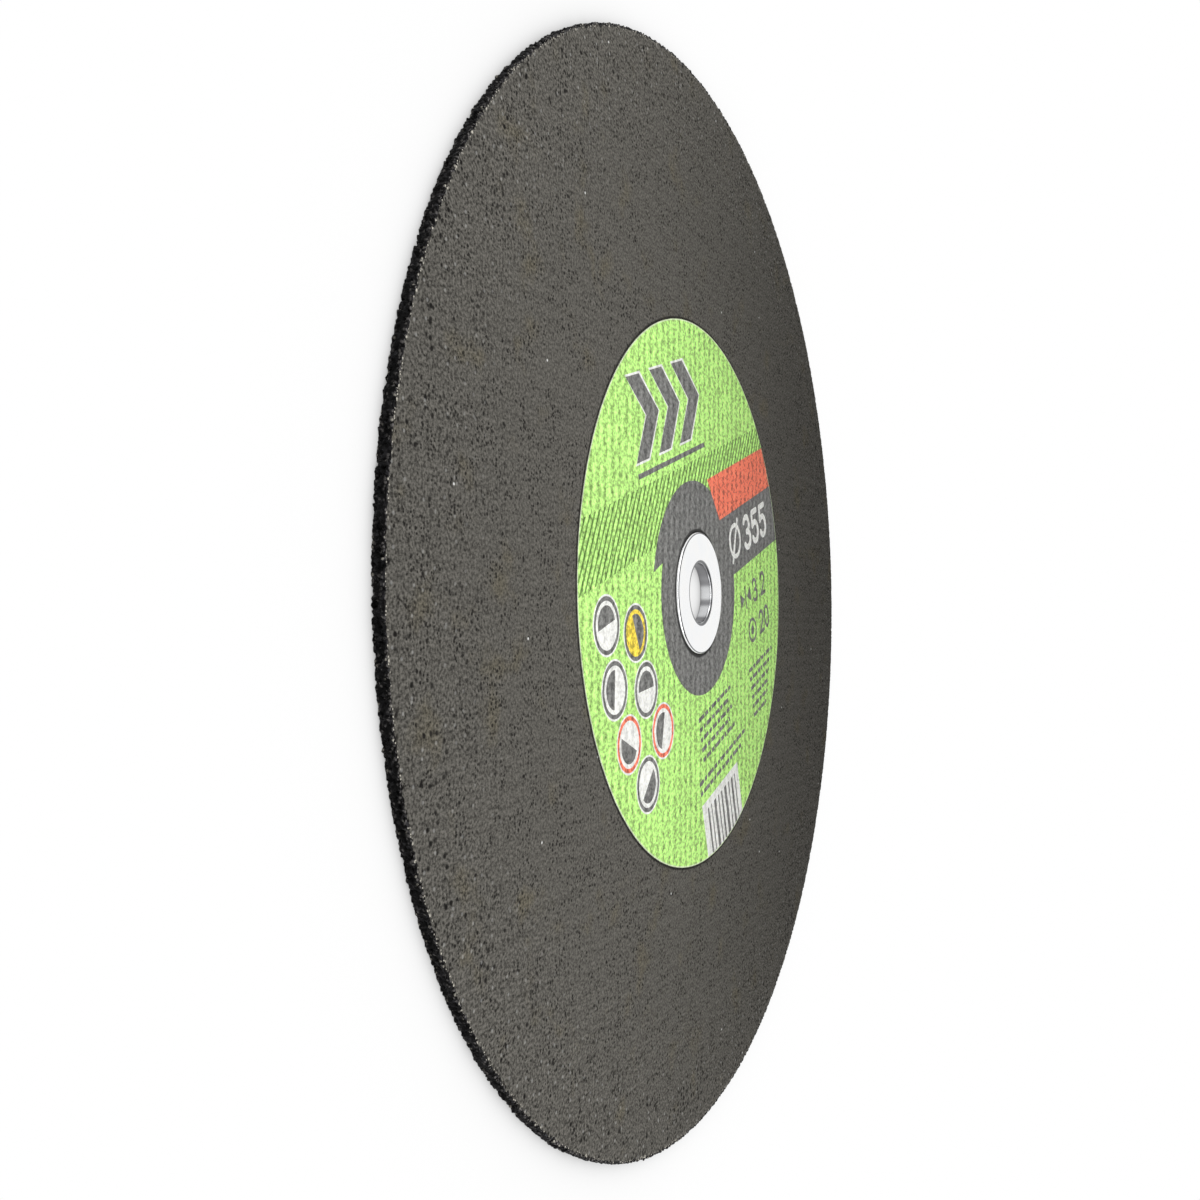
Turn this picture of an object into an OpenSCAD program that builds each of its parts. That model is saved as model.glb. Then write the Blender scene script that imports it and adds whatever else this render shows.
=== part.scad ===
// Reinforced cut-off wheel with a paper label and a flanged metal bushing.
// The wheel lies on its back face: Z = 0 is that face, and +Z is the axis, towards the label.

/* [Wheel] */
// Outside diameter of the abrasive disc
wheel_d = 355.6; // [250:0.1:410]
// Thickness of the abrasive disc
wheel_t = 3.2; // [2:0.1:6]
// Diameter of the hole moulded through the disc
hole_d = 25.4; // [24:0.1:32]
// Radius of the rim's two corners
rim_corner_r = 0.3; // [0.1:0.05:0.9]

/* [Label] */
// Outside diameter of the paper label
label_d = 183; // [80:1:240]
// Thickness of the paper and its glue
label_t = 0.2; // [0.1:0.05:0.6]
// Gap all round between the bushing's flange and the label's hole
label_gap = 0.3; // [0.1:0.1:3]

/* [Bushing] */
// Diameter of the bore that takes the spindle
bore_d = 20; // [12:0.1:20.5]
// Diameter of the flange
flange_d = 41.5; // [36:0.5:70]
// Thickness of the flange
flange_t = 1; // [0.9:0.1:3]
// Radius of the flange's rounded outer edge
flange_edge_r = 0.8; // [0.2:0.05:0.85]
// Radius of the rounded mouth of the bore
mouth_r = 0.8; // [0.2:0.05:1.2]
// Chamfer at the back end of the bore
bore_chamfer = 0.3; // [0.1:0.05:0.6]
// Chamfer that leads the sleeve into the disc's hole
sleeve_chamfer = 0.4; // [0.1:0.05:0.8]
// Distance from the sleeve's end to the back face of the disc
sleeve_setback = 0.1; // [0.05:0.05:0.8]
// Radial clearance of the sleeve in the disc's hole
push_fit = 0.02; // [0.01:0.01:0.2]

/* [Hidden] */
$fn = 180;
// Cutters run past the faces that they cut by this much
overcut = 1;

label_hole_d = flange_d + 2 * label_gap;
sleeve_d = hole_d - 2 * push_fit;
flange_top = wheel_t + flange_t;

// The waste outside a quarter circle of radius r, to round a convex corner at the origin.
// The corner's solid lies towards -X and -Y.
module corner_waste(r) {
    translate([-r, -r])
        difference() {
            square(r + overcut);
            circle(r);
        }
}

// The waste outside a 45 degree chamfer, for the same corner.
module chamfer_waste(size) {
    polygon([[-size, 0], [-size, overcut], [overcut, overcut], [overcut, -size], [0, -size]]);
}

// Half section of a flat ring, in the XY plane that rotate_extrude turns about Y
module ring_section(inner_d, outer_d, height) {
    translate([inner_d / 2, 0])
        square([(outer_d - inner_d) / 2, height]);
}

// Resin-bonded abrasive, pressed in one piece with its glass-fibre cloth
module abrasive_disc() {
    color([0.36, 0.35, 0.33])
        rotate_extrude()
            difference() {
                ring_section(hole_d, wheel_d, wheel_t);
                translate([wheel_d / 2, wheel_t])
                    corner_waste(rim_corner_r);
                translate([wheel_d / 2, 0])
                    mirror([0, 1])
                        corner_waste(rim_corner_r);
            }
}

// Printed paper ring, glued to the disc round the flange
module label() {
    color([0.72, 0.92, 0.5])
        translate([0, 0, wheel_t])
            rotate_extrude()
                ring_section(label_hole_d, label_d, label_t);
}

// Plated steel reducing bushing: its sleeve fills the disc's hole and its flange seats on the disc
module bushing() {
    color([0.9, 0.9, 0.91])
        rotate_extrude()
            difference() {
                union() {
                    translate([0, sleeve_setback])
                        ring_section(bore_d, sleeve_d, wheel_t - sleeve_setback + flange_t);
                    translate([0, wheel_t])
                        ring_section(bore_d, flange_d, flange_t);
                }
                translate([flange_d / 2, flange_top])
                    corner_waste(flange_edge_r);
                translate([bore_d / 2, flange_top])
                    mirror([1, 0])
                        corner_waste(mouth_r);
                translate([bore_d / 2, sleeve_setback])
                    mirror([1, 0])
                        mirror([0, 1])
                            chamfer_waste(bore_chamfer);
                translate([sleeve_d / 2, sleeve_setback])
                    mirror([0, 1])
                        chamfer_waste(sleeve_chamfer);
            }
}

abrasive_disc();
label();
bushing();
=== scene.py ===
"""Looks of the cut-off wheel: a pressed abrasive disc, its printed paper label and its plated bushing.

The wheel lies on its back face, label up. Sizes are in millimetres and go to metres where a mesh is made.
The stage's sizes are in metres.
"""
import math

import bpy
import numpy as np
from mathutils import Matrix, Vector, noise
from mathutils.geometry import delaunay_2d_cdt


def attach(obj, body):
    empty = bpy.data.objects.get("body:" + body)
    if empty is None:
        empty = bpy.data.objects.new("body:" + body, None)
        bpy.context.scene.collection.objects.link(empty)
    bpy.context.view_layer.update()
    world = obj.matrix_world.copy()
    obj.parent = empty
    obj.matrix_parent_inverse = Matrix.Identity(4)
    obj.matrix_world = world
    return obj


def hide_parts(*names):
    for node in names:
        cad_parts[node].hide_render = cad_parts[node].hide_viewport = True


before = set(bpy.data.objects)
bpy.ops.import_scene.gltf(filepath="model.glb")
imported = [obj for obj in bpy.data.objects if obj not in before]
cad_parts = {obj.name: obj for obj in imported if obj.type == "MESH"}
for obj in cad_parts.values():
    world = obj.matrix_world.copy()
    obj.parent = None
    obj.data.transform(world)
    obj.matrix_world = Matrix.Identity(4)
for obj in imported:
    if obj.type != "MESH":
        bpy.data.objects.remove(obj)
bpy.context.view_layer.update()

MM = 0.001
TURN = 2 * math.pi
BLACK = (0, 0, 0, 1)
WHITE = (1, 1, 1, 1)


def radii(points):
    """Distances of points from the axis."""
    return np.hypot(points[:, 0], points[:, 1])


def node_points(node):
    """A CAD node's vertices, in millimetres."""
    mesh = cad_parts[node].data
    flat = np.empty(len(mesh.vertices) * 3)
    mesh.vertices.foreach_get("co", flat)
    return flat.reshape(-1, 3) / MM


def node_section(node):
    """Inner radius, outer radius, lowest and highest level of a turned CAD node."""
    points = node_points(node)
    from_axis = radii(points)
    return from_axis.min(), from_axis.max(), points[:, 2].min(), points[:, 2].max()


HOLE_R, WHEEL_R, BACK_Z, FACE_Z = node_section("abrasive_disc")
LABEL_HOLE_R, LABEL_R, LABEL_Z, LABEL_TOP = node_section("label")
BORE_R, FLANGE_R = node_section("bushing")[:2]
MIDDLE_Z = (FACE_Z + BACK_Z) / 2

# Glass cloth pressed into the faces: pitch of its yarns, and the two slow waves in which they wander
MESH = 4.7
WAVE, WAVE_LENGTH = 0.5, 31.0
SKEW_WAVE, SKEW_LENGTHS = 0.35, (23.0, 47.0)

# Steps of the meshes that show the cloth's print, along X and Y
FRONT_STEP = (MESH / 4, MESH / 3)
BACK_STEP = (MESH / 2, MESH / 2)


def print_depth(flat):
    """Depth of the cloth's print at flat points, from 0 on a yarn to 1 in a mesh."""
    x, y = flat[:, 0], flat[:, 1]
    drift = WAVE * np.sin(y / WAVE_LENGTH)
    drift = drift + SKEW_WAVE * np.sin(x / SKEW_LENGTHS[0] + y / SKEW_LENGTHS[1])
    across = np.cos(TURN * (x + drift) / MESH)
    along = np.cos(TURN * (y + drift) / MESH)
    return (1 - np.maximum(across, along)) / 2


# Outlines and meshes

# The kind of result that delaunay_2d_cdt is asked for, and the distance at which it merges points
INSIDE_TRIANGLES = 1
MERGE_DISTANCE = 1e-4

# How far a point that lies on a circle's chord may be from the circle
ON_CIRCLE = 0.01


def ring(radius, steps):
    """Points of a circle about the axis."""
    angle = np.arange(steps) * TURN / steps
    return np.stack((radius * np.cos(angle), radius * np.sin(angle)), 1)


def grid(step, inner, outer):
    """Points of a rectangular grid, between two radii."""
    reach_x = math.ceil(outer / step[0]) * step[0]
    reach_y = math.ceil(outer / step[1]) * step[1]
    x, y = np.meshgrid(np.arange(-reach_x, reach_x + step[0], step[0]),
                       np.arange(-reach_y, reach_y + step[1], step[1]))
    points = np.stack((x.ravel(), y.ravel()), 1)
    from_axis = radii(points)
    return points[(from_axis > inner) & (from_axis < outer)]


def partition(outlines, loose):
    """Triangles of the plane that keep every outline, with the outlines that hold each triangle.

    Each outline runs counter-clockwise.
    Returns the points, the triangles, the outline numbers of each triangle, and for each outline's point
    the place of that point in the result.
    """
    points = np.concatenate([*outlines, *loose])
    faces = []
    first = 0
    for outline in outlines:
        faces.append(list(range(first, first + len(outline))))
        first += len(outline)
    made = delaunay_2d_cdt([Vector(p) for p in points], [], faces, INSIDE_TRIANGLES, MERGE_DISTANCE, True)
    coords, _, triangles, sources, _, owners = made
    place = {}
    for now, before in enumerate(sources):
        for index in before:
            place[index] = now
    kept = [[place[index] for index in face if index in place] for face in faces]
    return np.array([tuple(c) for c in coords]), triangles, owners, kept


def in_ring(held):
    """Whether a triangle lies inside the first outline and outside the second."""
    return 0 in held and 1 not in held


def ring_face(edge, hole, loose):
    """Triangles between two outlines: points, triangles, and the places of the outlines' own points."""
    flat, triangles, owners, places = partition([edge, hole], loose)
    return flat, [t for t, held in zip(triangles, owners) if in_ring(held)], places


def around(flat, radius):
    """Places of the points on a circle, in the order of their angles."""
    on_circle = np.flatnonzero(np.abs(radii(flat) - radius) < ON_CIRCLE)
    angles = np.arctan2(flat[on_circle, 1], flat[on_circle, 0])
    return on_circle[np.argsort(angles)].tolist()


def moved_on(places, first):
    """Places in a list of points, once that list follows on from the first ones of a longer list."""
    return [first + place for place in places]


def strip(upper, lower):
    """Quads between two rings of as many points, facing away from the axis."""
    steps = len(upper)
    return [(lower[i], lower[(i + 1) % steps], upper[(i + 1) % steps], upper[i]) for i in range(steps)]


def add_object(name, points, faces, materials, material_of_face, smooth):
    """A mesh object from points in millimetres, riding on the wheel."""
    mesh = bpy.data.meshes.new(name)
    mesh.from_pydata((points * MM).tolist(), [], faces)
    for material in materials:
        mesh.materials.append(material)
    mesh.polygons.foreach_set("material_index", np.asarray(material_of_face, dtype=np.int32))
    mesh.polygons.foreach_set("use_smooth", np.asarray(smooth, dtype=bool))
    mesh.update()
    piece = bpy.data.objects.new(name, mesh)
    bpy.context.scene.collection.objects.link(piece)
    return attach(piece, "root")


# Node graphs

# Spans of a noise's values about its middle
WIDE_SPAN = (0.2, 0.8)
BROAD_SPAN = (0.25, 0.75)
MOST_SPAN = (0.28, 0.72)
MIDDLE_SPAN = (0.3, 0.7)
NARROW_SPAN = (0.38, 0.62)

# Share of a speck's radius within which it shows in full
SPECK_CORE = 0.4

# How far the shaded yarns wander, and the scale of the noise that bends them
YARN_BEND = 2.2
YARN_BEND_SCALE = 0.11


class Graph:
    """A node tree that is written one call at a time.

    An input that is a socket is linked, and any other is set.
    """

    def __init__(self, tree):
        self.tree = tree

    def add(self, kind, inputs=None, **settings):
        """A new node of that kind, with its inputs and its settings."""
        made = self.tree.nodes.new("ShaderNode" + kind)
        for key, value in settings.items():
            setattr(made, key, value)
        for key, value in (inputs or {}).items():
            if isinstance(value, bpy.types.NodeSocket):
                self.tree.links.new(value, made.inputs[key])
            else:
                made.inputs[key].default_value = value
        return made

    def math(self, operation, *values):
        """The result of one operation."""
        return self.add("Math", dict(enumerate(values)), operation=operation).outputs[0]

    def ramp(self, value, low, high, to_low=0.0, to_high=1.0):
        """A smooth step of value, from low to high."""
        inputs = {0: value, 1: low, 2: high, 3: to_low, 4: to_high}
        return self.add("MapRange", inputs, interpolation_type="SMOOTHSTEP").outputs[0]

    def mix(self, factor, one, two, blend="MIX"):
        """A mix of two colours. The node has its colours in inputs 6 and 7 and in output 2."""
        inputs = {0: factor, 6: one, 7: two}
        return self.add("Mix", inputs, data_type="RGBA", blend_type=blend).outputs[2]

    def shade(self, colour, tone):
        """The colour times a grey tone."""
        grey = self.add("CombineColor", {0: tone, 1: tone, 2: tone}).outputs[0]
        return self.mix(1.0, colour, grey, blend="MULTIPLY")

    def lay(self, mask, strength, colour, other):
        """The colour, with that strength of the other one where the mask is 1."""
        return self.mix(self.math("MULTIPLY", mask, strength), colour, other)

    def noise(self, coords, size, detail=2.0, roughness=0.5):
        """Noise with features of about that size."""
        inputs = {"Vector": coords, "Scale": 1 / size, "Detail": detail, "Roughness": roughness}
        return self.add("TexNoise", inputs).outputs[0]

    def millimetres(self):
        """Places on the piece, in millimetres."""
        coords = self.add("TexCoord").outputs["Object"]
        return self.add("VectorMath", {0: coords, 3: 1 / MM}, operation="SCALE").outputs[0]

    def level(self, coords):
        """How high a place is."""
        return self.add("SeparateXYZ", {0: coords}).outputs[2]

    def flattened(self, coords):
        """The place at level 0 under or over a place."""
        return self.add("VectorMath", {0: coords, 1: (1, 1, 0)}, operation="MULTIPLY").outputs[0]

    def radius(self, coords):
        """How far a place is from the axis."""
        flat = self.flattened(coords)
        return self.add("VectorMath", {0: flat}, operation="LENGTH").outputs["Value"]

    def drawn(self, cells):
        """A number from 0 to 1 for each cell of a Voronoi texture."""
        return self.add("SeparateColor", {0: cells.outputs["Color"]}).outputs[0]

    def specks(self, coords, spacing, size, share, space="2D"):
        """Soft round specks of that radius, one in each of that share of cells of that spacing."""
        inputs = {"Vector": coords, "Scale": 1 / spacing, "Randomness": 1.0}
        cells = self.add("TexVoronoi", inputs, voronoi_dimensions=space)
        chosen = self.math("LESS_THAN", self.drawn(cells), share)
        inside = self.ramp(cells.outputs["Distance"], size / spacing, SPECK_CORE * size / spacing)
        return self.math("MULTIPLY", chosen, inside)

    def cloth(self, coords, across_share, along_share):
        """The cloth's pattern, from -1 to 1, with shares of its two sets of yarns. They wander a little."""
        wander = self.add("TexNoise", {"Vector": coords, "Scale": YARN_BEND_SCALE, "Detail": 1.0})
        bend = self.add("VectorMath", {0: wander.outputs["Color"], 3: YARN_BEND}, operation="SCALE")
        bent = self.add("VectorMath", {0: coords, 1: bend.outputs[0]}, operation="ADD").outputs[0]
        axes = self.add("SeparateXYZ", {0: bent})
        across = self.math("COSINE", self.math("MULTIPLY", axes.outputs[0], TURN / MESH))
        along = self.math("COSINE", self.math("MULTIPLY", axes.outputs[1], TURN / MESH))
        both = self.math("MULTIPLY", self.math("MULTIPLY", across, along), 1 - across_share - along_share)
        woven = self.math("MULTIPLY_ADD", across, across_share, both)
        return self.math("MULTIPLY_ADD", along, along_share, woven)


def start_material(name):
    """A new material: its graph, its Principled shader and itself."""
    material = bpy.data.materials.new(name)
    material.use_nodes = True
    return Graph(material.node_tree), material.node_tree.nodes["Principled BSDF"], material


def finish_material(graph, shader, colour, roughness, height, depth, strength):
    """Links a colour, a roughness and a bump to the shader. The bump is that deep, in millimetres."""
    bump = graph.add("Bump", {"Height": height, "Distance": depth * MM, "Strength": strength})
    graph.tree.links.new(colour, shader.inputs["Base Color"])
    graph.tree.links.new(roughness, shader.inputs["Roughness"])
    graph.tree.links.new(bump.outputs[0], shader.inputs["Normal"])


# Abrasive: colours

FACE_WARM = (0.132, 0.120, 0.092, 1)
FACE_COOL = (0.123, 0.117, 0.104, 1)
PIT_COLOUR = (0.016, 0.015, 0.014, 1)
GRIT_DARK = (0.003, 0.003, 0.003, 1)
GRIT_LIGHT = (0.045, 0.044, 0.047, 1)
FIBRE_PALE = (0.78, 0.74, 0.64, 1)
QUARTZ_PALE = (0.90, 0.90, 0.88, 1)
CHIP_GREY = (0.17, 0.16, 0.155, 1)

# Abrasive: specks, each with its spacing, its radius and the share of places that have one
LARGE_PITS = (2.2, 0.62, 0.6)
SMALL_PITS = (1.3, 0.40, 0.45)
DEEP_PITS = (11.0, 0.65, 0.45)
OPEN_PITS = (3.0, 0.9, 0.6)
LIGHT_GRAINS = (4.0, 0.6, 0.35)
QUARTZ = (44.0, 0.48, 0.55)
YARN_ENDS = (3.1, 0.5, 0.4)
FIBRE_ENDS = (0.9, 0.26, 0.5)
RIM_CHIPS = (0.9, 0.45, 0.7)
RIM_FIBRES = (1.3, 0.45, 0.45)
# Painted highlights: grey glints on the rim's grains
RIM_GLINTS = (1.2, 0.5, 0.32)

# Abrasive: how strongly specks and the painted shade along the label's edge show. The pits vary, as they
# crowd in places
PIT_SHOW = (0.15, 0.88)
DEEP_PIT_SHOW = 0.9
LIGHT_GRAIN_SHOW = 0.2
QUARTZ_SHOW = 0.85
FIBRE_SHOW = 0.9
RIM_FIBRE_SHOW = 0.75
GLINT_SHOW = 0.85
LABEL_SHADE_SHOW = 0.8

# Abrasive: sizes of its noises
STAIN = 14.0
FACE_GRAIN = 0.8
CROWD = 6.0
OPEN_CROWD = 8.0
WEAR = 1.3
RIM_GRAIN = 0.35

# Face: where a stain begins and ends, shares of the yarns, tones, heights in the bump, and the finish
STAIN_SPAN = (0.56, 0.76)
FACE_WEAVE = (0.2, 0.5)
FACE_WEAVE_TONE = 0.09
FACE_TONES = (-0.50, 0.50)
FACE_WEAVE_HEIGHT = 0.35
DEEP_PIT_HEIGHT = 1.5
FACE_ROUGHNESS = (0.85, 1.0)
FACE_BUMP = (0.15, 0.8)
FACE_SPECULAR = 0.03

# The face's texture opens up towards the rim: where, how much its contrast and tone rise, and its clumps
OUTER_BAND = (55.0, 3.0)
OUTER_CONTRAST = 0.4
OUTER_LIFT = 0.05
OPEN_CROWD_SPAN = (0.48, 0.62)

# Bare grit begins at the rim in a ragged line, fibre ends show in a band along it, and painted shade
# darkens a line round the label
RAGGED = 2.2
BARE_BAND = (0.35, 0.75)
FIBRE_BAND = (1.5, 0.7)
LABEL_SHADE_LINE = 1.1
LABEL_SHADE_CORE = 0.5

# Rim: where its corners begin and end, as shares of the thickness from the middle, and the finish
CORNER_BAND = (0.12, 0.48)
RIM_ROUGHNESS = (0.42, 0.75)
RIM_BUMP = (0.1, 0.6)
RIM_SPECULAR = 0.08

# Shade of the grains: their size as a share of a grain, and a power that leaves few of them pale
SHADE_SHARE = 0.6
FEW_PALE = 5.0

# Grains that stand out of the rim, and sharp ridges over them
GRAIN = 1.2
GRIT_OUT = 0.35
GRIT_IN = 0.9
RIDGE = 0.7
RIDGE_OUT = 0.45
RIDGE_LEVEL = 0.3

# A grain's height: shares of its own height, its domed top and its fine texture, and the level taken off
OWN_SHARE, DOME_SHARE, FINE_SHARE = 0.9, 0.7, 0.35
GRIT_LEVEL = 0.15
DOME_SLOPE = 1.5
CELL_SPREAD = 5.3
FINE_GRAIN = 0.45

# Chips that break the corners: size, and the noise above which one starts
CHIPS = ((6.5, 0.25), (2.1, 0.3))
CHIP_REACH = 2.5

# How far points of a corner and of the side between them lie off their level
CORNER_LIFT = 0.25
SIDE_LIFT = 0.1
SIDE_LIFT_SCALE = 1.7

# Mesh of the disc: width of its corners, its rows and insets in such widths, and rings under the label
CORNER = 0.4
RIM_STEPS = 3000
SIDE_ROWS = 7
SIDE_INSET = 0.8
CORNER_SETBACK, CORNER_DROP = 0.3, 0.25
GRID_INSET = 2.2
HOLE_STEPS = 180
INNER_STEPS = 240
INNER_PITCH = 14.0
INNER_START, INNER_STOP = 12.0, 6.0

# Cloth's print on the disc: depth, width over which it fades, and radii where it begins
CLOTH_DEPTH = 0.09
CLOTH_FADE = 3.0
FRONT_PRINT_R = LABEL_R - 4
BACK_PRINT_R = HOLE_R + 3


def grit_colour(graph, coords):
    """Black grains, each of its own shade, and the distance from each grain's middle."""
    cells = graph.add("TexVoronoi", {"Vector": coords, "Scale": 1 / (SHADE_SHARE * GRAIN)})
    few_pale = graph.math("POWER", graph.drawn(cells), FEW_PALE)
    return graph.mix(few_pale, GRIT_DARK, GRIT_LIGHT), cells.outputs["Distance"]


def face_tone(graph, fine, woven, outer):
    """The face's tone: its fine grain, stronger towards the rim, and the cloth's print."""
    contrast = graph.math("MULTIPLY_ADD", outer, OUTER_CONTRAST, 1.0)
    lift = graph.math("MULTIPLY_ADD", outer, OUTER_LIFT, 1.0)
    tone = graph.math("MULTIPLY_ADD", graph.ramp(fine, *MOST_SPAN, *FACE_TONES), contrast, lift)
    return graph.math("MULTIPLY_ADD", woven, FACE_WEAVE_TONE, tone)


def open_texture(graph, coords, outer, colour):
    """The face's colour with clumps of open pits and some light grains towards the rim."""
    pits = graph.math("MULTIPLY", outer, graph.specks(coords, *OPEN_PITS))
    crowd = graph.ramp(graph.noise(coords, OPEN_CROWD), *OPEN_CROWD_SPAN)
    colour = graph.lay(pits, crowd, colour, PIT_COLOUR)
    grains = graph.math("MULTIPLY", outer, graph.specks(coords, *LIGHT_GRAINS))
    return graph.lay(grains, LIGHT_GRAIN_SHOW, colour, QUARTZ_PALE)


def edge_of_face(graph, coords, radius, colour):
    """The face's colour with bare grit and fibre ends along the rim, and painted shade in a dark line round
    the label.
    """
    ragged = graph.math("MULTIPLY_ADD", graph.noise(coords, WEAR), RAGGED, radius)
    bare = graph.ramp(ragged, *(WHEEL_R + reach for reach in BARE_BAND))
    colour = graph.mix(bare, colour, grit_colour(graph, coords)[0])
    band = graph.ramp(radius, *(WHEEL_R - reach for reach in FIBRE_BAND))
    ends = graph.math("MAXIMUM", graph.specks(coords, *YARN_ENDS), graph.specks(coords, *FIBRE_ENDS))
    colour = graph.lay(graph.math("MULTIPLY", band, ends), FIBRE_SHOW, colour, FIBRE_PALE)
    # Painted shade: a dark line on the face along the label's edge, where the label meets the disc
    label_shade = graph.ramp(radius, LABEL_R + LABEL_SHADE_LINE, LABEL_R + LABEL_SHADE_CORE * LABEL_SHADE_LINE)
    return graph.lay(label_shade, LABEL_SHADE_SHOW, colour, PIT_COLOUR)


def face_material():
    """Grey pressed face: cloth print, dark pits, a few pale specks, and bare grit along the rim."""
    graph, shader, material = start_material("abrasive_face")
    coords = graph.millimetres()
    woven = graph.cloth(coords, *FACE_WEAVE)
    stain = graph.noise(coords, STAIN, detail=3.0)
    fine = graph.noise(coords, FACE_GRAIN, detail=3.0, roughness=0.6)
    pits = graph.math("MAXIMUM", graph.specks(coords, *LARGE_PITS), graph.specks(coords, *SMALL_PITS))
    deep_pits = graph.specks(coords, *DEEP_PITS)

    radius = graph.radius(coords)
    outer = graph.ramp(radius, *(WHEEL_R - reach for reach in OUTER_BAND))
    colour = graph.mix(graph.ramp(stain, *STAIN_SPAN), FACE_COOL, FACE_WARM)
    colour = graph.shade(colour, face_tone(graph, fine, woven, outer))
    crowd = graph.ramp(graph.noise(coords, CROWD), *NARROW_SPAN, *PIT_SHOW)
    colour = graph.lay(pits, crowd, colour, PIT_COLOUR)
    colour = open_texture(graph, coords, outer, colour)
    colour = graph.lay(deep_pits, DEEP_PIT_SHOW, colour, PIT_COLOUR)
    colour = graph.lay(graph.specks(coords, *QUARTZ), QUARTZ_SHOW, colour, QUARTZ_PALE)
    colour = edge_of_face(graph, coords, radius, colour)

    height = graph.math("MULTIPLY_ADD", woven, FACE_WEAVE_HEIGHT, fine)
    height = graph.math("SUBTRACT", height, pits)
    height = graph.math("SUBTRACT", height, graph.math("MULTIPLY", deep_pits, DEEP_PIT_HEIGHT))
    roughness = graph.ramp(fine, *WIDE_SPAN, *FACE_ROUGHNESS)
    finish_material(graph, shader, colour, roughness, height, *FACE_BUMP)
    shader.inputs["Specular IOR Level"].default_value = FACE_SPECULAR
    return material


def rim_material():
    """Black raw grains, with grey chips and pale ends of glass fibre towards the corners, and painted
    highlights as grey glints all over.
    """
    graph, shader, material = start_material("abrasive_rim")
    coords = graph.millimetres()
    colour, from_middle = grit_colour(graph, coords)
    fine = graph.noise(coords, RIM_GRAIN, detail=3.0)
    off_middle = graph.math("ABSOLUTE", graph.math("SUBTRACT", graph.level(coords), MIDDLE_Z))
    corner = graph.ramp(off_middle, *(share * FACE_Z for share in CORNER_BAND))
    colour = graph.lay(corner, graph.specks(coords, *RIM_CHIPS, space="3D"), colour, CHIP_GREY)
    fibres = graph.math("MULTIPLY", corner, graph.specks(coords, *RIM_FIBRES, space="3D"))
    colour = graph.lay(fibres, RIM_FIBRE_SHOW, colour, FIBRE_PALE)
    # Painted highlights: grey specks all over the rim stand in for grains that catch the light
    colour = graph.lay(graph.specks(coords, *RIM_GLINTS, space="3D"), GLINT_SHOW, colour, CHIP_GREY)
    height = graph.math("SUBTRACT", fine, from_middle)
    roughness = graph.ramp(fine, *MIDDLE_SPAN, *RIM_ROUGHNESS)
    finish_material(graph, shader, colour, roughness, height, *RIM_BUMP)
    shader.inputs["Specular IOR Level"].default_value = RIM_SPECULAR
    return material


def grit(point):
    """How far the grains stand out at a point of the rim, from -1 to 1."""
    distances, cells = noise.voronoi(point / GRAIN)
    own_height = noise.noise(cells[0] * CELL_SPREAD)
    dome = 1 - DOME_SLOPE * distances[0]
    fine = noise.noise(point / (FINE_GRAIN * GRAIN))
    out = OWN_SHARE * own_height + DOME_SHARE * dome - GRIT_LEVEL + FINE_SHARE * fine
    return max(-1.0, min(1.0, out))


def rim_point(x, y, setback, level):
    """A gritty point of the rim, in the direction x, y. A setback marks a point of a corner."""
    point = Vector((x * WHEEL_R, y * WHEEL_R, level))
    out = grit(point)
    chip = sum(max(0.0, noise.noise(point / size) - start) for size, start in CHIPS)
    ridge = noise.noise(Vector((point.x, point.y, RIDGE_LEVEL * level)) / RIDGE)
    push = out * (GRIT_OUT if out > 0 else GRIT_IN) - setback * (1 + CHIP_REACH * chip) + RIDGE_OUT * ridge
    if setback:
        lift = math.copysign(CORNER_LIFT * CORNER * (out - 1), level - MIDDLE_Z)
    else:
        lift = SIDE_LIFT * GRAIN * noise.noise(point * SIDE_LIFT_SCALE)
    height = min(max(level + lift, BACK_Z), FACE_Z)
    return x * (WHEEL_R + push), y * (WHEEL_R + push), height


def rim_rings(rows):
    """Rings of gritty rim points. A row is a setback and a level."""
    directions = ring(1.0, RIM_STEPS)
    return [np.array([rim_point(x, y, *row) for x, y in directions]) for row in rows]


def side_rows():
    """Rows of the rim between the edges of the two faces."""
    setback, drop = CORNER_SETBACK * CORNER, CORNER_DROP * CORNER
    levels = np.linspace(FACE_Z - SIDE_INSET * CORNER, BACK_Z + SIDE_INSET * CORNER, SIDE_ROWS)
    return [(setback, FACE_Z - drop), *((0.0, level) for level in levels), (setback, BACK_Z + drop)]


def flat_side(step, print_r, level, way):
    """One face of the disc: points, triangles, and the places of its rim and hole points."""
    edge = ring(WHEEL_R - CORNER, RIM_STEPS)
    hole = ring(HOLE_R, HOLE_STEPS)
    inner_radii = np.arange(HOLE_R + INNER_START, print_r - INNER_STOP, INNER_PITCH)
    inner_rings = [ring(radius, INNER_STEPS) for radius in inner_radii]
    printed = grid(step, print_r, WHEEL_R - GRID_INSET * CORNER - max(step) / 2)
    flat, triangles, (rim_places, hole_places) = ring_face(edge, hole, [*inner_rings, printed])
    from_axis = radii(flat)
    fade_in = np.clip((from_axis - print_r) / CLOTH_FADE, 0, 1)
    fade_out = np.clip((WHEEL_R - from_axis) / CLOTH_FADE, 0, 1)
    sunk = fade_in * fade_out * CLOTH_DEPTH * print_depth(flat)
    points = np.column_stack((flat, level - way * sunk))
    if way < 0:
        triangles = [t[::-1] for t in triangles]
    return points, triangles, rim_places, hole_places


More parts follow.
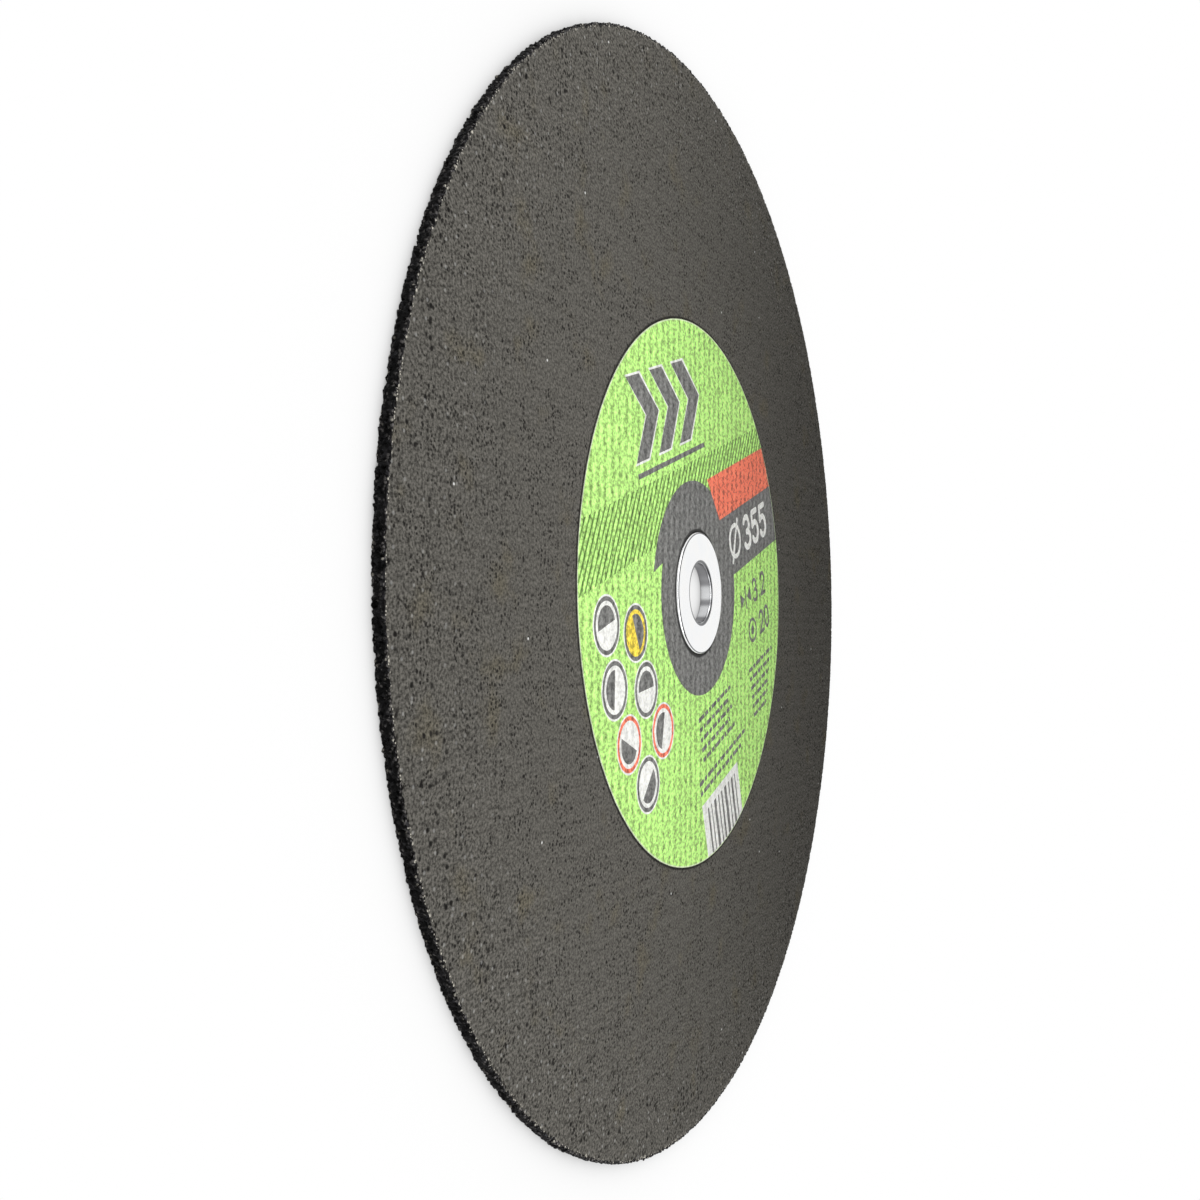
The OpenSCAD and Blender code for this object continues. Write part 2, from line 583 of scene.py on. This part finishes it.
def make_disc():
    """The abrasive disc: two printed faces, joined by a gritty rim and the wall of the hole."""
    front, front_faces, front_rim, front_hole = flat_side(FRONT_STEP, FRONT_PRINT_R, FACE_Z, 1)
    back, back_faces, back_rim, back_hole = flat_side(BACK_STEP, BACK_PRINT_R, BACK_Z, -1)
    front[front_rim], back[back_rim] = rim_rings([(CORNER, FACE_Z), (CORNER, BACK_Z)])
    back_rim = moved_on(back_rim, len(front))
    back_hole = moved_on(back_hole, len(front))
    back_faces = [moved_on(triangle, len(front)) for triangle in back_faces]

    side = rim_rings(side_rows())
    side_first = len(front) + len(back)
    side_places = [moved_on(range(RIM_STEPS), side_first + row * RIM_STEPS) for row in range(len(side))]
    rings = [front_rim, *side_places, back_rim]
    rim_faces = [quad for upper, lower in zip(rings, rings[1:]) for quad in strip(upper, lower)]
    raw_faces = [*strip(back_hole, front_hole), *rim_faces]
    pressed_faces = [*front_faces, *back_faces]

    points = np.concatenate([front, back, *side])
    faces = [*pressed_faces, *raw_faces]
    material_of_face = [0] * len(pressed_faces) + [1] * len(raw_faces)
    smooth = [True] * len(pressed_faces) + [False] * len(raw_faces)
    disc = add_object("disc", points, faces, [face_material(), rim_material()], material_of_face, smooth)
    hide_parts("abrasive_disc")


# Label: inks, and the paper's texture

INKS = {
    "green": (0.530, 0.885, 0.250, 1),
    "dark": (0.200, 0.199, 0.191, 1),
    "orange": (0.96, 0.235, 0.145, 1),
    "white": (0.95, 0.95, 0.91, 1),
    "edge": (0.780, 0.920, 0.580, 1),
    "yellow": (0.93, 0.72, 0.09, 1),
    "hatch": (0.16, 0.30, 0.075, 1),
}
PALE_INKS = ("white", "edge")
PALE_TEXTURE = 0.4
PAPER_FIBRE = 1.0
FIBRE_TONES = (-0.46, 0.46)
FIBRE_HEIGHT = 0.25
PAPER_WEAVE = (0.6, 0.0)
PAPER_WEAVE_TONE = 0.32
PAPER_STAIN = 9.0
PAPER_STAIN_TONES = (0.95, 1.05)
PAPER_ROUGHNESS = (0.5, 0.7)
PAPER_BUMP = (0.06, 0.6)
PAPER_SPECULAR = 0.1

# Label: painted shade, a dark line on the label round the flange
FLANGE_SHADE_LINE = 1.2
FLANGE_SHADE_CORE = 0.4
FLANGE_SHADE_DEPTH = 0.85

# Label: pale cut edge, print of the cloth, and gaps between its mesh and its edges
BORDER = 0.45
LABEL_STEPS = 720
LABEL_CLOTH_DEPTH = 0.07
LABEL_FADE = 2.0
EDGE_SINK = 0.8
HOLE_GAP, EDGE_GAP = 1.0, 1.6

# Label: layout of the print, whose own level is turned by this angle
PRINT_TURN = math.radians(18)

HATCH_BOTTOM, HATCH_TOP = 24.0, 44.0
HATCH_PITCH, HATCH_WIDTH = 3.4, 1.25

RING_R, ARROW_R = 33.0, 39.5
ARROW_FROM, ARROW_SWEEP, ARROW_STEPS = 165.0, 367.5, 130

BAND_LEFT, BAND_BOTTOM, BAND_TOP, BAND_OVERRUN = 22.0, -3.6, 19.0, 4.0
FIELD_LEFT, FIELD_TOP, FIELD_OVERRUN, FIELD_SLANT = 28.0, 35.3, 8.0, -8.0
SIGN_AT, SIGN_R, SIGN_HOLE_R = (42.0, 8.0), 6.6, 4.9
SLASH_HALF, SLASH_LINE = (4.5, 7.0), 1.6
DIAMETER_AT, DIAMETER_HEIGHT, DIAMETER_LINE = (53.0, 2.2), 11.5, 2.3

CHEVRON_LEFTS = (-38.0, -19.5, -1.0)
CHEVRON_BOTTOM, CHEVRON_TOP = 51.5, 77.5
CHEVRON_DEPTH, CHEVRON_WIDTH, CHEVRON_OUTLINE = 12.0, 10.0, 0.7
RULE = (-38.0, 46.6, 21.0, 48.2)

# Each roundel has an ink, a distance from the axis and an angle
ROUNDELS = (("dark", 74, 189), ("dark", 74, 204), ("orange", 74, 219), ("dark", 74, 234),
            ("yellow", 54.5, 194.5), ("dark", 54.5, 214.5), ("orange", 54.5, 234.5))
ROUNDEL_R, ROUNDEL_TURN = 8.4, 70
ROUNDEL_OUTLINE, ROUNDEL_LINE, ROUNDEL_GAP = 0.6, 1.3, 2.6

SIZE_HEIGHT, SIZE_LINE = 8.0, 1.4
THICKNESS_AT, THICKNESS_MARK_AT = (56.0, -19.5), (47.0, -15.5)
MARK_BAR_HALF = (0.5, 4.5)
MARK_TIP, MARK_END, MARK_HALF = 1.6, 6.0, 3.0
BORE_AT, BORE_MARK_AT = (60.0, -33.5), (51.0, -29.5)
BORE_MARK = (("dark", 4.8), ("green", 3.6), ("dark", 1.8))

# Blocks of dashes. Each row is shorter than the one before, until the cycle starts again
DASH_LENGTHS = (4.2, 2.4, 5.6, 3.0, 1.8, 4.8, 2.6)
DASH_PITCH, DASH_HEIGHT, DASH_GAP = 3.6, 1.5, 1.0
DASH_BLOCKS = (
    {"rows": 6, "left": 42.0, "bottom": -44.0, "right": 71.0, "shorter": 2.6, "cycle": 6, "first": 0},
    {"rows": 5, "left": -14.0, "bottom": -42.0, "right": 20.0, "shorter": 4.0, "cycle": 2, "first": 2},
    {"rows": 2, "left": -20.0, "bottom": -63.0, "right": 30.0, "shorter": 6.0, "cycle": 2, "first": 0},
)

PATCH_LEFT, PATCH_RIGHT, PATCH_TOP = -20.0, 18.0, -70.0
BARS_LEFT, BARS_TOP, BAR_GAP = -15.5, -73.0, 2.1
BAR_WIDTHS = (1.5, 0.9, 2.2, 0.9, 1.5, 2.4, 0.9, 1.8, 0.9)


def ink_material(name, colour):
    """Matt ink on paper that has taken the cloth's print, with painted shade in a ring round the flange."""
    graph, shader, material = start_material("label_" + name)
    coords = graph.millimetres()
    woven = graph.cloth(coords, *PAPER_WEAVE)
    fibre = graph.noise(coords, PAPER_FIBRE, detail=3.0)
    stain = graph.noise(coords, PAPER_STAIN)
    fibre_tone = graph.ramp(fibre, *MOST_SPAN, *FIBRE_TONES)
    texture = graph.math("MULTIPLY_ADD", woven, PAPER_WEAVE_TONE, fibre_tone)
    tone = graph.math("MULTIPLY_ADD", texture, PALE_TEXTURE if name in PALE_INKS else 1.0, 1.0)
    tone = graph.math("MULTIPLY", tone, graph.ramp(stain, *MIDDLE_SPAN, *PAPER_STAIN_TONES))
    # Painted shade: the ink darkens in a ring round the flange, where the flange's shadow falls on the
    # label
    shade_from, shade_to = LABEL_HOLE_R + FLANGE_SHADE_LINE, LABEL_HOLE_R + FLANGE_SHADE_CORE * FLANGE_SHADE_LINE
    pressed = graph.ramp(graph.radius(coords), shade_from, shade_to)
    tone = graph.math("MULTIPLY", tone, graph.math("MULTIPLY_ADD", pressed, -FLANGE_SHADE_DEPTH, 1.0))
    height = graph.math("MULTIPLY_ADD", fibre, FIBRE_HEIGHT, woven)
    roughness = graph.ramp(fibre, *WIDE_SPAN, *PAPER_ROUGHNESS)
    finish_material(graph, shader, graph.shade(colour, tone), roughness, height, *PAPER_BUMP)
    shader.inputs["Specular IOR Level"].default_value = PAPER_SPECULAR
    return material


# Label: shapes of the print

SPOT_STEPS = 40
ROUND_STEPS = 14
ARC_STEPS = 14


def turned(points, angle=PRINT_TURN):
    """Points turned about the axis, from the print's own level to the wheel's."""
    cos, sin = math.cos(angle), math.sin(angle)
    return np.asarray(points, dtype=float) @ np.array([[cos, sin], [-sin, cos]])


def box(left, bottom, right, top, slant=0.0):
    """A rectangle of the print, or a parallelogram whose top is moved by slant."""
    return turned([(left, bottom), (right, bottom), (right + slant, top), (left + slant, top)])


def spot(centre, radius, steps=SPOT_STEPS):
    """Points of a circle about that centre."""
    return ring(radius, steps) + np.asarray(centre)


def arc(centre, radii_xy, start, end, steps=ARC_STEPS):
    """Points of an arc, with its angles in degrees."""
    angle = np.radians(np.linspace(start, end, steps))
    return [(centre[0] + radii_xy[0] * math.cos(a), centre[1] + radii_xy[1] * math.sin(a)) for a in angle]


# Strokes of each digit, in a height of 1, and how far a digit or a point moves the next one on
DIGITS = {
    "0": [arc((0.3, 0.5), (0.3, 0.5), 0, 360, 25)],
    "2": [[*arc((0.3, 0.7), (0.3, 0.3), 165, -35), (0.0, 0.0), (0.62, 0.0)]],
    "3": [arc((0.28, 0.75), (0.27, 0.25), 150, -90), arc((0.28, 0.26), (0.31, 0.26), 90, -150)],
    "5": [[(0.56, 1.0), (0.08, 1.0), (0.04, 0.55), *arc((0.28, 0.32), (0.30, 0.32), 115, -150)]],
    ".": [[(0.1, 0.0), (0.1, 0.02)]],
}
DIGIT_ADVANCE, POINT_ADVANCE = 0.86, 0.36


def stroke(path, width):
    """Outlines of a line of that width along a path: one box for each stretch and a round at each point."""
    outlines = [spot(point, width / 2, ROUND_STEPS) for point in path]
    for start, end in zip(path, path[1:]):
        along = np.subtract(end, start)
        side = np.array([-along[1], along[0]]) * width / 2 / math.hypot(*along)
        outlines.append(np.array([start - side, end - side, end + side, start + side]))
    return [turned(outline) for outline in outlines]


def numeral(text, at, height, width):
    """Outlines of a plain number, with its lower left corner at that place."""
    left, bottom = at
    outlines = []
    for digit in text:
        for path in DIGITS[digit]:
            outlines += stroke([(left + x * height, bottom + y * height) for x, y in path], width)
        left += height * (POINT_ADVANCE if digit == "." else DIGIT_ADVANCE)
    return outlines


def dash_row(left, bottom, right, first):
    """A row of small dashes. Their lengths follow a fixed round, from the first one."""
    dashes = []
    while left < right:
        length = DASH_LENGTHS[(first + len(dashes)) % len(DASH_LENGTHS)]
        dashes.append(box(left, bottom, min(left + length, right), bottom + DASH_HEIGHT))
        left += length + DASH_GAP
    return dashes


def dash_block(rows, left, bottom, right, shorter, cycle, first):
    """Rows of dashes, each under the one before."""
    dashes = []
    for row in range(rows):
        dashes += dash_row(left, bottom - DASH_PITCH * row, right - shorter * (row % cycle), first + row)
    return dashes


def thickness_mark(x, y):
    """A bar between two arrowheads, as beside the size of a thickness."""
    width, height = MARK_BAR_HALF
    bar = box(x - width, y - height, x + width, y + height)
    low, high = y - MARK_HALF, y + MARK_HALF
    left = turned([(x - MARK_END, low), (x - MARK_TIP, y), (x - MARK_END, high)])
    right = turned([(x + MARK_END, low), (x + MARK_END, high), (x + MARK_TIP, y)])
    return [bar, left, right]


# Label: fields of the print. Each function gives inks with outlines, in the order that they are laid


def inked(ink, outlines):
    """Each outline with that ink."""
    return [(ink, outline) for outline in outlines]


def hatch():
    """Diagonal hatch across the label."""
    slant = HATCH_TOP - HATCH_BOTTOM
    lefts = np.arange(-LABEL_R - slant, LABEL_R, HATCH_PITCH)
    return inked("hatch", [box(left, HATCH_BOTTOM, left + HATCH_WIDTH, HATCH_TOP, slant) for left in lefts])


def arrow_ring():
    """Ring round the flange, which widens to the head of an arrow."""
    sweep = np.radians(np.linspace(ARROW_FROM, ARROW_FROM + ARROW_SWEEP, ARROW_STEPS))
    widening = np.linspace(RING_R, ARROW_R, ARROW_STEPS)
    return [("dark", np.stack((widening * np.cos(sweep), widening * np.sin(sweep)), 1))]


def size_band():
    """Dark band with the wheel's diameter, and the colour field over it. Both run past the label's edge."""
    (x, y), (half_x, half_y) = SIGN_AT, SLASH_HALF
    slash = stroke([(x - half_x, y - half_y), (x + half_x, y + half_y)], SLASH_LINE)
    return [
        ("dark", box(BAND_LEFT, BAND_BOTTOM, LABEL_R + BAND_OVERRUN, BAND_TOP)),
        ("orange", box(FIELD_LEFT, BAND_TOP, LABEL_R + FIELD_OVERRUN, FIELD_TOP, FIELD_SLANT)),
        ("white", turned(spot(SIGN_AT, SIGN_R))),
        ("dark", turned(spot(SIGN_AT, SIGN_HOLE_R))),
        *inked("white", slash),
        *inked("white", numeral("355", DIAMETER_AT, DIAMETER_HEIGHT, DIAMETER_LINE)),
    ]


def chevrons():
    """Chevrons with a pale outline, over a plain rule."""
    middle = (CHEVRON_BOTTOM + CHEVRON_TOP) / 2
    fields = []
    for left in CHEVRON_LEFTS:
        for ink, spare in (("white", CHEVRON_OUTLINE), ("dark", 0.0)):
            start, end = left - spare, left + CHEVRON_WIDTH + spare
            bottom, top = CHEVRON_BOTTOM - spare, CHEVRON_TOP + spare
            outline = [(start, bottom), (end, bottom), (end + CHEVRON_DEPTH, middle),
                       (end, top), (start, top), (start + CHEVRON_DEPTH, middle)]
            fields.append((ink, turned(outline)))
    return [*fields, ("dark", box(*RULE))]


def roundels():
    """Plain roundels, each with a half-disc that is turned on from the one before."""
    half_r = ROUNDEL_R - ROUNDEL_GAP
    half = arc((0, 0), (half_r, half_r), 0, 180)
    fields = []
    for number, (ink, distance, angle) in enumerate(ROUNDELS):
        angle = math.radians(angle)
        centre = np.array([distance * math.cos(angle), distance * math.sin(angle)])
        yellow = ink == "yellow"
        fields += [
            ("white", spot(centre, ROUNDEL_R + ROUNDEL_OUTLINE)),
            ("dark" if yellow else ink, spot(centre, ROUNDEL_R)),
            ("yellow" if yellow else "white", spot(centre, ROUNDEL_R - ROUNDEL_LINE)),
            ("dark", turned(half, PRINT_TURN + math.radians(ROUNDEL_TURN * number)) + centre),
        ]
    return fields


def sizes():
    """The wheel's thickness and bore, with the usual marks beside them."""
    return [
        *inked("dark", numeral("3.2", THICKNESS_AT, SIZE_HEIGHT, SIZE_LINE)),
        *inked("dark", numeral("20", BORE_AT, SIZE_HEIGHT, SIZE_LINE)),
        *inked("dark", thickness_mark(*THICKNESS_MARK_AT)),
        *[(ink, turned(spot(BORE_MARK_AT, radius))) for ink, radius in BORE_MARK],
    ]


def dashes():
    """Blocks of small dashes under the sizes and at the bottom of the label."""
    return [field for block in DASH_BLOCKS for field in inked("dark", dash_block(**block))]


def bar_patch():
    """White patch with plain bars, at the label's lower edge."""
    fields = [("white", box(PATCH_LEFT, -LABEL_R, PATCH_RIGHT, PATCH_TOP))]
    left = BARS_LEFT
    for width in BAR_WIDTHS:
        fields.append(("dark", box(left, -LABEL_R, left + width, BARS_TOP)))
        left += width + BAR_GAP
    return fields


def print_fields():
    """The whole print, in the order that it is laid."""
    background = [*hatch(), *arrow_ring(), *size_band()]
    return [*background, *chevrons(), *roundels(), *sizes(), *dashes(), *bar_patch()]


def printed_top():
    """The label's printed face: flat points, triangles, and the number of each triangle's ink."""
    fields = print_fields()
    edge = ring(LABEL_R, LABEL_STEPS)
    hole = ring(LABEL_HOLE_R, LABEL_STEPS)
    border = ring(LABEL_R - BORDER, LABEL_STEPS)
    loose = [grid(FRONT_STEP, LABEL_HOLE_R + HOLE_GAP, LABEL_R - EDGE_GAP), border]
    flat, triangles, owners, _ = partition([edge, hole, *(outline for _, outline in fields)], loose)
    inks = list(INKS)
    ink_of = [inks.index(ink) for ink in ("green", "green", *(ink for ink, _ in fields))]
    from_axis = radii(flat)
    faces, face_inks = [], []
    for triangle, held in zip(triangles, owners):
        if in_ring(held):
            on_border = from_axis[triangle].mean() > LABEL_R - BORDER
            faces.append(triangle)
            face_inks.append(inks.index("edge") if on_border else ink_of[max(held)])
    used = sorted({place for triangle in faces for place in triangle})
    renumber = {old: new for new, old in enumerate(used)}
    return flat[used], [[renumber[place] for place in triangle] for triangle in faces], face_inks


def make_label():
    """The paper ring: its printed top is one surface, cut along the outline of every field."""
    flat, top_faces, top_inks = printed_top()
    fade = np.clip((LABEL_R - radii(flat)) / LABEL_FADE, 0, 1)
    sunk = LABEL_CLOTH_DEPTH * (print_depth(flat) * fade + EDGE_SINK * (1 - fade))
    top = np.column_stack((flat, LABEL_TOP - sunk))

    edge_top = around(flat, LABEL_R)
    hole_top = around(flat, LABEL_HOLE_R)
    low_flat, low_faces, (edge_low, hole_low) = ring_face(flat[edge_top], flat[hole_top], [])
    low = np.column_stack((low_flat, np.full(len(low_flat), LABEL_Z)))
    edge_low = moved_on(edge_low, len(top))
    hole_low = moved_on(hole_low, len(top))
    low_faces = [moved_on(triangle[::-1], len(top)) for triangle in low_faces]
    walls = [*strip(edge_top, edge_low), *strip(hole_low, hole_top), *low_faces]

    points = np.concatenate([top, low])
    faces = [*top_faces, *walls]
    materials = [ink_material(name, colour) for name, colour in INKS.items()]
    face_inks = [*top_inks, *([list(INKS).index("white")] * len(walls))]
    smooth = [True] * len(top_faces) + [False] * len(walls)
    label = add_object("label_print", points, faces, materials, face_inks, smooth)
    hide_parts("label")


# Bushing

PLATE_COLOURS = ((0.90, 0.91, 0.92, 1), (0.96, 0.96, 0.95, 1))
# Painted reflections: the bore's wall is darker steel in soft bands, standing in for what it reflects
WALL_REFLECTION_COLOURS = ((0.28, 0.28, 0.29, 1), (0.80, 0.81, 0.82, 1))
# Painted dark reflection on the flange's rounded edge, and painted shade on the bore's rounded mouth
EDGE_REFLECTION_COLOUR = (0.16, 0.165, 0.17, 1)
MOUTH_SHADE_COLOUR = (0.13, 0.135, 0.14, 1)
TURNING_MARK = 0.16
PLATE_STAIN = 6.0
WALL_REFLECTION_SIZE = 5.5
PLATE_ROUGHNESS = (0.12, 0.24)
PLATE_BUMP = (0.02, 0.25)

# Radii of the bore's wall and of the roundings with painted shade and dark reflections, out from the bore
# and in from the flange's edge
WALL_BAND = (0.4, 0.1)
MOUTH_SHADE_BAND = (1.4, 1.0)
EDGE_REFLECTION_START = (0.75, 0.5)
EDGE_REFLECTION_END = (0.2, 0.35)


def steel_material():
    """Bright plate over fine turning marks, with painted shade and dark reflections on the roundings and
    painted reflections in the bore.
    """
    graph, shader, material = start_material("plated_steel")
    coords = graph.millimetres()
    radius = graph.radius(coords)
    turning = graph.add("CombineXYZ", {0: radius, 1: graph.level(coords), 2: 0.0}).outputs[0]
    marks = graph.noise(turning, TURNING_MARK, detail=4.0, roughness=0.7)
    stain = graph.noise(coords, PLATE_STAIN, detail=3.0)
    # Painted reflections on the bore's wall, in soft bands
    wall_reflection = graph.noise(graph.flattened(coords), WALL_REFLECTION_SIZE, detail=1.0)
    # Painted shade on the bore's mouth, and a painted dark reflection on the flange's edge
    mouth_shade = graph.ramp(radius, *(BORE_R + reach for reach in MOUTH_SHADE_BAND))
    wall = graph.ramp(radius, *(BORE_R + reach for reach in WALL_BAND))
    edge = graph.math("MULTIPLY", graph.ramp(radius, *(FLANGE_R - reach for reach in EDGE_REFLECTION_START)),
                      graph.ramp(radius, *(FLANGE_R - reach for reach in EDGE_REFLECTION_END)))
    colour = graph.mix(graph.ramp(stain, *MIDDLE_SPAN), *PLATE_COLOURS)
    colour = graph.mix(edge, colour, EDGE_REFLECTION_COLOUR)
    colour = graph.mix(mouth_shade, colour, MOUTH_SHADE_COLOUR)
    colour = graph.mix(wall, colour, graph.mix(graph.ramp(wall_reflection, *NARROW_SPAN), *WALL_REFLECTION_COLOURS))
    roughness = graph.ramp(stain, *BROAD_SPAN, *PLATE_ROUGHNESS)
    finish_material(graph, shader, colour, roughness, marks, *PLATE_BUMP)
    shader.inputs["Metallic"].default_value = 1.0
    return material


def dress_bushing():
    """The CAD bushing in plated steel."""
    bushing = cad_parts["bushing"]
    bushing.data.materials.clear()
    bushing.data.materials.append(steel_material())


# Stage

FLOOR_COLOUR = (0.9, 0.9, 0.9, 1)
FLOOR_SIZE = 6.0
SHADOW_REACH = 0.04
SHADOW_DEPTH = 0.76
SKY_FILL = 0.12
CEILING = 0.15
CEILING_FROM = (0.55, 0.68)
KEY_AT = (-0.10, 0.0, 0.245)
KEY_SIZE = (0.18, 0.90)
KEY_POWER = 1.34

# The camera is low over the wheel, with the wheel's +Y upwards in the picture
CAMERA_AT = (-0.3700, -0.0140, 0.14476)
CAMERA_AIM = (-0.0767, -0.0044, 0.0030)
LENS = 34.78
SENSOR = 36.0
CLIP_START = 0.01


def seen_directly(graph):
    """1 for rays that show the background: from the camera, a mirror or glass. 0 for light on the wheel."""
    path = graph.add("LightPath").outputs
    mirrored = graph.math("MAXIMUM", path["Is Glossy Ray"], path["Is Transmission Ray"])
    return graph.math("MAXIMUM", path["Is Camera Ray"], mirrored)


def floor_material():
    """Pale, and seen as white with the wheel's soft shadow."""
    graph, shader, material = start_material("floor")
    seen = seen_directly(graph)
    graph.tree.links.new(graph.mix(seen, FLOOR_COLOUR, BLACK), shader.inputs["Base Color"])
    shader.inputs["Roughness"].default_value = 1.0
    shader.inputs["Specular IOR Level"].default_value = 0.0
    shader.inputs["Emission Color"].default_value = WHITE
    open_share = graph.add("AmbientOcclusion", {"Distance": SHADOW_REACH}).outputs["AO"]
    glow = graph.math("MULTIPLY_ADD", open_share, SHADOW_DEPTH, 1 - SHADOW_DEPTH)
    graph.tree.links.new(graph.math("MULTIPLY", seen, glow), shader.inputs["Emission Strength"])
    return material


def make_floor():
    """A wide floor under the wheel's back face."""
    corners = [(-1, -1, 0), (1, -1, 0), (1, 1, 0), (-1, 1, 0)]
    mesh = bpy.data.meshes.new("floor")
    mesh.from_pydata([tuple(FLOOR_SIZE / 2 * c for c in corner) for corner in corners], [], [(0, 1, 2, 3)])
    mesh.materials.append(floor_material())
    floor = bpy.data.objects.new("floor", mesh)
    floor.location.z = BACK_Z * MM
    bpy.context.scene.collection.objects.link(floor)


def make_sky():
    """White walls under a dim ceiling, as they are seen, and a weak fill on the wheel."""
    world = bpy.data.worlds.new("studio")
    world.use_nodes = True
    graph = Graph(world.node_tree)
    background = world.node_tree.nodes["Background"]
    background.inputs["Color"].default_value = WHITE
    height = graph.level(graph.add("TexCoord").outputs["Generated"])
    walls = graph.ramp(height, *CEILING_FROM, 1.0, CEILING)
    seen = graph.math("MULTIPLY", seen_directly(graph), walls)
    graph.tree.links.new(graph.math("MAXIMUM", seen, SKY_FILL), background.inputs["Strength"])
    bpy.context.scene.world = world


def looking(at, aim):
    """The place of a camera or lamp that looks from at to aim, with +Y upwards."""
    back = (Vector(at) - Vector(aim)).normalized()
    right = Vector((0, 1, 0)).cross(back).normalized()
    up = back.cross(right)
    turn = Matrix((right, up, back)).transposed().to_4x4()
    return Matrix.Translation(at) @ turn


def make_lamp():
    """A soft area lamp over the near half of the wheel. It is long in Y and shines straight down."""
    data = bpy.data.lights.new("key", "AREA")
    data.shape = "RECTANGLE"
    data.size, data.size_y = KEY_SIZE
    data.energy = KEY_POWER
    lamp = bpy.data.objects.new("key", data)
    lamp.matrix_world = looking(KEY_AT, (KEY_AT[0], KEY_AT[1], 0.0))
    lamp.visible_camera = False
    bpy.context.scene.collection.objects.link(lamp)


def make_camera():
    """The camera at the photograph's viewing angle."""
    data = bpy.data.cameras.new("camera")
    data.lens = LENS
    data.sensor_width = SENSOR
    data.clip_start = CLIP_START
    camera = bpy.data.objects.new("camera", data)
    camera.matrix_world = looking(CAMERA_AT, CAMERA_AIM)
    bpy.context.scene.collection.objects.link(camera)
    bpy.context.scene.camera = camera


make_camera()
make_sky()
make_floor()
make_lamp()
make_disc()
make_label()
dress_bushing()
bpy.context.scene.view_settings.view_transform = "Standard"
